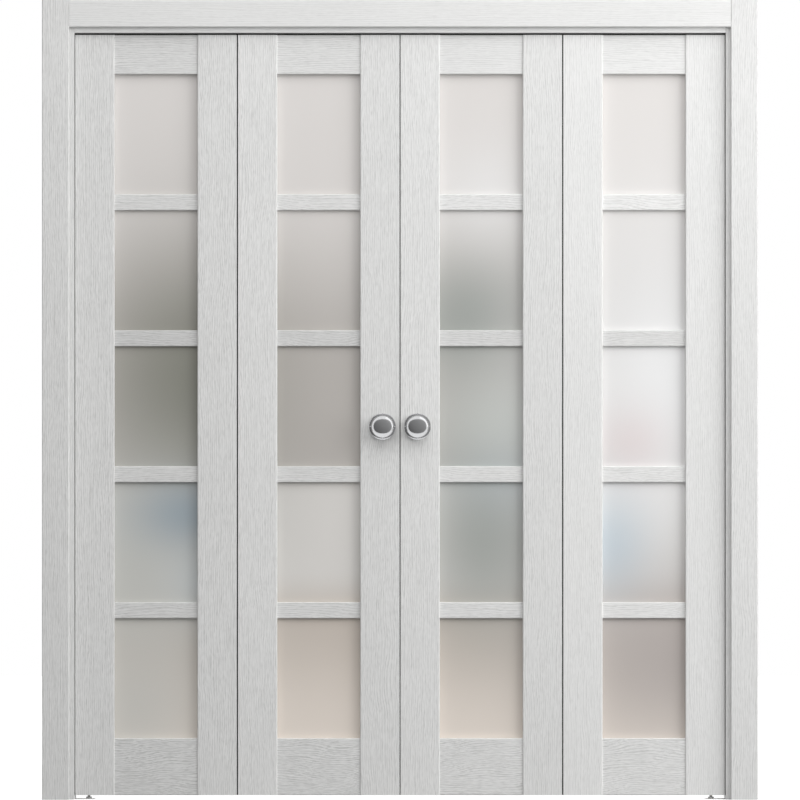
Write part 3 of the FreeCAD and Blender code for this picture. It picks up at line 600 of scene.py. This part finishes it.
def seal_rubber():
    """Black rubber strip with fine dust on it."""
    n = Nodes("seal_rubber")
    dust = n.noise(n.position(), RUBBER_DUST_REPEATS, RUBBER_DUST_DETAIL, RUBBER_DUST_HARSHNESS)
    n.link(n.mix(n.remap(dust, *RUBBER_DUST_RANGE), *RUBBER_TINTS), n.shader.inputs["Base Color"])
    n.link(n.remap(dust, *NOISE_RANGE, *RUBBER_ROUGHNESS), n.shader.inputs["Roughness"])
    n.bump(dust, *RUBBER_BUMP)
    return n.material


def paint(name, material):
    slots = node_object(name).data.materials
    slots.clear()
    slots.append(material)


def finish_solids():
    """Gives every solid its material. Boards get their own run of grain."""
    boards = {}
    # Each board's tone is partly its own and partly painted shade and light
    for i, (tone, contrast) in enumerate(STILE_LOOKS):
        name = "leaf_%d_%s_stile" % (i // 2 + 1, ("left", "right")[i % 2])
        ash = "stile_ash_%d" % (i + 1)
        boards[name] = limed_ash(ash, "Z", STILE_SEED + i, UPRIGHT_WANDER, contrast, tone)
    for i, (name, (tone, contrast)) in enumerate(FRAME_LOOKS.items()):
        boards[name] = limed_ash(name + "_ash", "Z", FRAME_SEED + i, UPRIGHT_WANDER, contrast, tone)
    head_boards = limed_ash("head_ash", "X", HEAD_SEED, HEAD_WANDER, HEAD_CONTRAST)
    for i, (rail, bar, wavy) in enumerate(zip(RAIL_LOOKS, BAR_LOOKS, WAVY_LOOKS)):
        leaf = "leaf_%d_" % (i + 1)
        tone, contrast = rail
        ash = "rail_ash_%d" % (i + 1)
        boards[leaf + "top_rail"] = limed_ash(ash, "X", RAIL_SEED + i, RAIL_WANDER, contrast, tone)
        tone, contrast = bar
        ash = "bar_ash_%d" % (i + 1)
        boards[leaf + "cross_bars"] = limed_ash(
            ash, "X", BAR_SEED + i, BAR_WANDER, contrast, tone, BAR_BENDS, BAR_HEIGHT_TONES
        )
        tone, contrast = wavy
        ash = "wavy_ash_%d" % (i + 1)
        boards[leaf + "bottom_rail"] = limed_ash(
            ash, "X", WAVY_SEED + i, WAVY_WANDER, contrast, tone, WAVY_BENDS
        )
    glass = satin_glass()
    chrome = polished_chrome()
    steel = brushed_metal("brushed_steel", STEEL_TINTS, "Z", STEEL_ROUGHNESS)
    aluminium = brushed_metal("drawn_aluminium", ALUMINIUM_TINTS, "X", ALUMINIUM_ROUGHNESS)
    nylon = moulded_nylon()
    coated = coated_steel()
    rubber = seal_rubber()
    plain = {
        "top_track": aluminium,
        "top_pivot_sockets": nylon,
        "rollers": nylon,
        "pivot_pins": nylon,
        "roller_pins": steel,
        "bottom_pivot_brackets": coated,
        "gap_seals": rubber,
        "hinge_outer_flaps": steel,
        "hinge_inner_flaps": steel,
        "hinge_pins": steel,
        "knob_rosettes": chrome,
        "left_knob": chrome,
        "right_knob": chrome,
    }
    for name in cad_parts:
        if name in plain:
            paint(name, plain[name])
        elif name.endswith("panes"):
            paint(name, glass)
        elif name in boards:
            paint(name, boards[name])
        else:
            paint(name, head_boards)
    return steel, coated


# Screws


def screw_head(mesh, centre, outward):
    """Adds a countersunk screw head with a cross recess to a mesh, its face just proud of centre."""
    turn = Vector((0, 0, 1)).rotation_difference(outward).to_matrix()
    rings = []
    for share, level in SCREW_PROFILE:
        radius = SCREW_HEAD_RADIUS * share
        ring = []
        for i in range(SCREW_SIDES):
            angle = 2 * math.pi * i / SCREW_SIDES
            point = Vector((radius * math.cos(angle), radius * math.sin(angle), level))
            ring.append(mesh.verts.new(centre + turn @ point))
        rings.append(ring)
    for lower, upper in zip(rings, rings[1:]):
        for i in range(SCREW_SIDES):
            j = (i + 1) % SCREW_SIDES
            mesh.faces.new((lower[i], lower[j], upper[j], upper[i]))
    mesh.faces.new(list(reversed(rings[0])))
    cross = cross_recess(mesh, centre, turn)
    face_between(mesh, rings[-1], cross)


def cross_recess(mesh, centre, turn):
    """The rim of the cross, with its walls and bottom. Returns the rim, in order round the screw."""
    half_length, half_width = SCREW_RECESS_LENGTH / 2, SCREW_RECESS_WIDTH / 2
    corners = []
    for quarter in range(4):
        angle = quarter * math.pi / 2
        for x, y in ((half_length, -half_width), (half_length, half_width), (half_width, half_width)):
            corners.append(
                (x * math.cos(angle) - y * math.sin(angle), x * math.sin(angle) + y * math.cos(angle))
            )

    def loop(share, level):
        return [mesh.verts.new(centre + turn @ Vector((x * share, y * share, level))) for x, y in corners]

    rim = loop(1.0, SCREW_DOME)
    bottom = loop(SCREW_RECESS_TAPER, SCREW_DOME - SCREW_RECESS_DEPTH)
    for i in range(len(rim)):
        j = (i + 1) % len(rim)
        mesh.faces.new((bottom[i], bottom[j], rim[j], rim[i]))
    mesh.faces.new(list(reversed(bottom)))
    return rim


def face_between(mesh, outer, inner):
    """Fills the flat ring between the head's edge and the cross."""
    edges = []
    for loop in (outer, inner):
        for i in range(len(loop)):
            a, b = loop[i], loop[(i + 1) % len(loop)]
            edges.append(mesh.edges.get((a, b)) or mesh.edges.new((a, b)))
    bmesh.ops.triangle_fill(mesh, edges=edges, use_beauty=True)


def screws(name, places, material):
    mesh = bmesh.new()
    for centre, outward in places:
        screw_head(mesh, centre, outward)
    bmesh.ops.recalc_face_normals(mesh, faces=mesh.faces)
    data = bpy.data.meshes.new(name)
    mesh.to_mesh(data)
    mesh.free()
    piece = bpy.data.objects.new(name, data)
    bpy.context.collection.objects.link(piece)
    data.materials.append(material)
    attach(piece, "root")


def hinge_screw_places():
    """The holes of both flaps of every hinge, worked out as in the solids."""
    barrel_x = flap_high.x - HINGE_KNUCKLE_REACH - HINGE_FLAP_WIDTH
    plate_middle = HINGE_KNUCKLE_REACH + HINGE_FLAP_WIDTH / 2
    face_y = LEAF_BACK_Y + HINGE_FLAP_THICKNESS
    hinge_step = (flap_high.z - flap_low.z - HINGE_HEIGHT) / (HINGE_COUNT - 1)
    screw_step = (HINGE_HEIGHT - 2 * FLAP_SCREW_END_DISTANCE) / (FLAP_SCREW_COUNT - 1)
    places = []
    for pair in (-1, 1):
        for flap in (-1, 1):
            for hinge in range(HINGE_COUNT):
                for i in range(FLAP_SCREW_COUNT):
                    stagger = flap * FLAP_SCREW_STAGGER * (-1) ** i
                    x = pair * barrel_x + flap * plate_middle - stagger
                    z = flap_low.z + hinge * hinge_step + FLAP_SCREW_END_DISTANCE + i * screw_step
                    places.append((Vector((x, face_y, z)), Vector((0, 1, 0))))
    return places


def bracket_screw_places():
    """One screw down into the floor and one into the jamb, at each bracket."""
    middle_y = (bracket_low.y + bracket_high.y) / 2
    jamb_face_x = bracket_high.x - BRACKET_THICKNESS
    places = []
    for side in (-1, 1):
        floor_x = side * (jamb_face_x - BRACKET_SCREW_DISTANCE)
        wall_x = side * jamb_face_x
        places.append((Vector((floor_x, middle_y, BRACKET_THICKNESS)), Vector((0, 0, 1))))
        places.append((Vector((wall_x, middle_y, BRACKET_SCREW_DISTANCE)), Vector((-side, 0, 0))))
    return places


# Studio


def light_world():
    """Plain white behind the object and in its mirrors, and a weaker light on it from all sides."""
    world = bpy.data.worlds.new("studio")
    bpy.context.scene.world = world
    world.use_nodes = True
    nodes = world.node_tree.nodes
    links = world.node_tree.links
    background = nodes["Background"]
    background.inputs["Color"].default_value = WHITE
    path = nodes.new("ShaderNodeLightPath")
    seen = path.outputs["Is Camera Ray"]
    for kind in ("Is Glossy Ray", "Is Transmission Ray"):
        either = nodes.new("ShaderNodeMath")
        either.operation = "MAXIMUM"
        links.new(seen, either.inputs[0])
        links.new(path.outputs[kind], either.inputs[1])
        seen = either.outputs[0]
    strength = nodes.new("ShaderNodeMapRange")
    strength.inputs["To Min"].default_value = FILL_STRENGTH
    strength.inputs["To Max"].default_value = BACKGROUND_STRENGTH
    links.new(seen, strength.inputs["Value"])
    links.new(strength.outputs["Result"], background.inputs["Strength"])


def soft_lamps():
    for name, place, size, power in LAMPS:
        data = bpy.data.lights.new(name, "AREA")
        data.shape = "DISK"
        data.size = size
        data.energy = power
        lamp = bpy.data.objects.new(name, data)
        lamp.location = place
        lamp.rotation_euler = (LAMP_TARGET - place).to_track_quat("-Z", "Y").to_euler()
        lamp.visible_glossy = False
        bpy.context.collection.objects.link(lamp)


def stage_mesh(name, points, material, faces=()):
    """A piece of the studio, of one face unless faces are given."""
    data = bpy.data.meshes.new(name)
    data.from_pydata(points, [], list(faces) or [tuple(range(len(points)))])
    data.materials.append(material)
    piece = bpy.data.objects.new(name, data)
    bpy.context.collection.objects.link(piece)
    return piece


def floor():
    """A round floor. The camera sees it white with the object's shadow, metal and glass plain white."""
    n = Nodes("studio_floor")
    n.tree.nodes.remove(n.shader)
    path = n.add("ShaderNodeLightPath")
    mirrored = n.math("MAXIMUM", path.outputs["Is Glossy Ray"], path.outputs["Is Transmission Ray"])

    bounce = n.add("ShaderNodeBsdfDiffuse")
    bounce.inputs["Color"].default_value = FLOOR_BOUNCE
    plain = n.add("ShaderNodeEmission")
    plain.inputs["Strength"].default_value = BACKGROUND_STRENGTH
    white = n.add("ShaderNodeBsdfDiffuse")
    white.inputs["Color"].default_value = FLOOR_SEEN
    glow = n.add("ShaderNodeEmission")
    distance = n.add("ShaderNodeVectorMath", operation="LENGTH")
    n.link(n.position(), distance.inputs[0])
    levels = (FLOOR_SEEN_GLOW, BACKGROUND_STRENGTH)
    strength = n.remap(distance.outputs["Value"], FLOOR_FADE_START, FLOOR_RADIUS, *levels, smooth=True)
    n.link(strength, glow.inputs["Strength"])
    shaded = n.add("ShaderNodeAddShader")
    n.link(white.outputs["BSDF"], shaded.inputs[0])
    n.link(glow.outputs["Emission"], shaded.inputs[1])

    surface = bounce.outputs["BSDF"]
    looks = (
        (mirrored, plain.outputs["Emission"]),
        (path.outputs["Is Camera Ray"], shaded.outputs[0]),
    )
    for seen, shader in looks:
        blend = n.add("ShaderNodeMixShader")
        n.link(seen, blend.inputs["Fac"])
        n.link(surface, blend.inputs[1])
        n.link(shader, blend.inputs[2])
        surface = blend.outputs["Shader"]
    n.link(surface, n.tree.nodes["Material Output"].inputs["Surface"])
    rim = []
    for i in range(FLOOR_SIDES):
        angle = 2 * math.pi * i / FLOOR_SIDES
        rim.append((FLOOR_RADIUS * math.cos(angle), FLOOR_RADIUS * math.sin(angle), 0.0))
    stage_mesh("floor", rim, n.material)


def glowing(name):
    """A material that only gives a light of its own: its nodes, and the socket for the light's strength."""
    n = Nodes(name)
    n.tree.nodes.remove(n.shader)
    glow = n.add("ShaderNodeEmission")
    n.link(glow.outputs["Emission"], n.tree.nodes["Material Output"].inputs["Surface"])
    return n, glow.inputs["Strength"]


def dark_card():
    """The dark end of the studio, with round corners, seen by glossy rays alone."""
    n, strength = glowing("dark_card")
    axes = n.axes(n.position())
    slope = n.math("ADD", axes["X"], axes["Z"])
    low, dark = CARD_DARK_CORNER
    high, pale = CARD_PALE_CORNER
    n.link(n.remap(slope, low, high, dark, pale), strength)
    y = LEAF_FACE_Y - CARD_DISTANCE
    rim = []
    for i in range(CARD_SIDES):
        angle = 2 * math.pi * i / CARD_SIDES
        across, up = math.cos(angle), math.sin(angle)
        x = CARD_HALF_WIDTH * math.copysign(abs(across) ** (2 / CARD_CORNER_POWER), across)
        z = CARD_CENTRE_Z + CARD_HALF_HEIGHT * math.copysign(abs(up) ** (2 / CARD_CORNER_POWER), up)
        rim.append((x, y, z))
    only_in_mirrors(stage_mesh("dark_card", rim, n.material))


def bright_panel():
    """A curved strip light beyond the card's upper right edge, which the polished metal alone shows."""
    n, strength = glowing("bright_panel")
    strength.default_value = PANEL_STRENGTH
    y = LEAF_FACE_Y - CARD_DISTANCE
    rim = []
    for radii, order in ((PANEL_INNER, 1), (PANEL_OUTER, -1)):
        arc = []
        for i in range(PANEL_STEPS + 1):
            angle = math.radians(PANEL_START + (PANEL_END - PANEL_START) * i / PANEL_STEPS)
            arc.append((radii[0] * math.cos(angle), y, CARD_CENTRE_Z + radii[1] * math.sin(angle)))
        rim.extend(arc[::order])
    only_in_mirrors(stage_mesh("bright_panel", rim, n.material))


def dark_arch():
    """A half round hood over the object, open at the front and below, as dark as an unlit ceiling."""
    n, strength = glowing("dark_arch")
    strength.default_value = ARCH_SHADE
    front_y = LEAF_FACE_Y - ARCH_RADIUS / math.tan(math.radians(ARCH_START_ANGLE))
    points = []
    for i in range(ARCH_STEPS + 1):
        angle = math.radians(ARCH_FROM + (ARCH_TO - ARCH_FROM) * i / ARCH_STEPS)
        x = ARCH_RADIUS * math.cos(angle)
        z = ARCH_CENTRE_Z + ARCH_RADIUS * math.sin(angle)
        points += [(x, front_y, z), (x, LEAF_FACE_Y, z)]
    faces = [(2 * i, 2 * i + 1, 2 * i + 3, 2 * i + 2) for i in range(ARCH_STEPS)]
    only_in_mirrors(stage_mesh("dark_arch", points, n.material, faces))


def only_in_mirrors(piece):
    piece.visible_camera = False
    piece.visible_diffuse = False
    piece.visible_transmission = False
    piece.visible_volume_scatter = False
    piece.visible_shadow = False


def camera():
    data = bpy.data.cameras.new("camera")
    data.sensor_width = SENSOR
    data.lens = SENSOR * CAMERA_DISTANCE / PICTURE_HEIGHT_M
    eye = bpy.data.objects.new("camera", data)
    eye.location = (0.0, LEAF_FACE_Y - CAMERA_DISTANCE, PICTURE_CENTRE_Z)
    eye.rotation_euler = (math.radians(90), 0.0, 0.0)
    bpy.context.collection.objects.link(eye)
    bpy.context.scene.camera = eye


def main():
    steel, coated = finish_solids()
    screws("hinge_screws", hinge_screw_places(), steel)
    screws("bracket_screws", bracket_screw_places(), coated)
    light_world()
    soft_lamps()
    floor()
    dark_card()
    bright_panel()
    dark_arch()
    camera()
    bpy.context.scene.view_settings.view_transform = "Standard"


main()
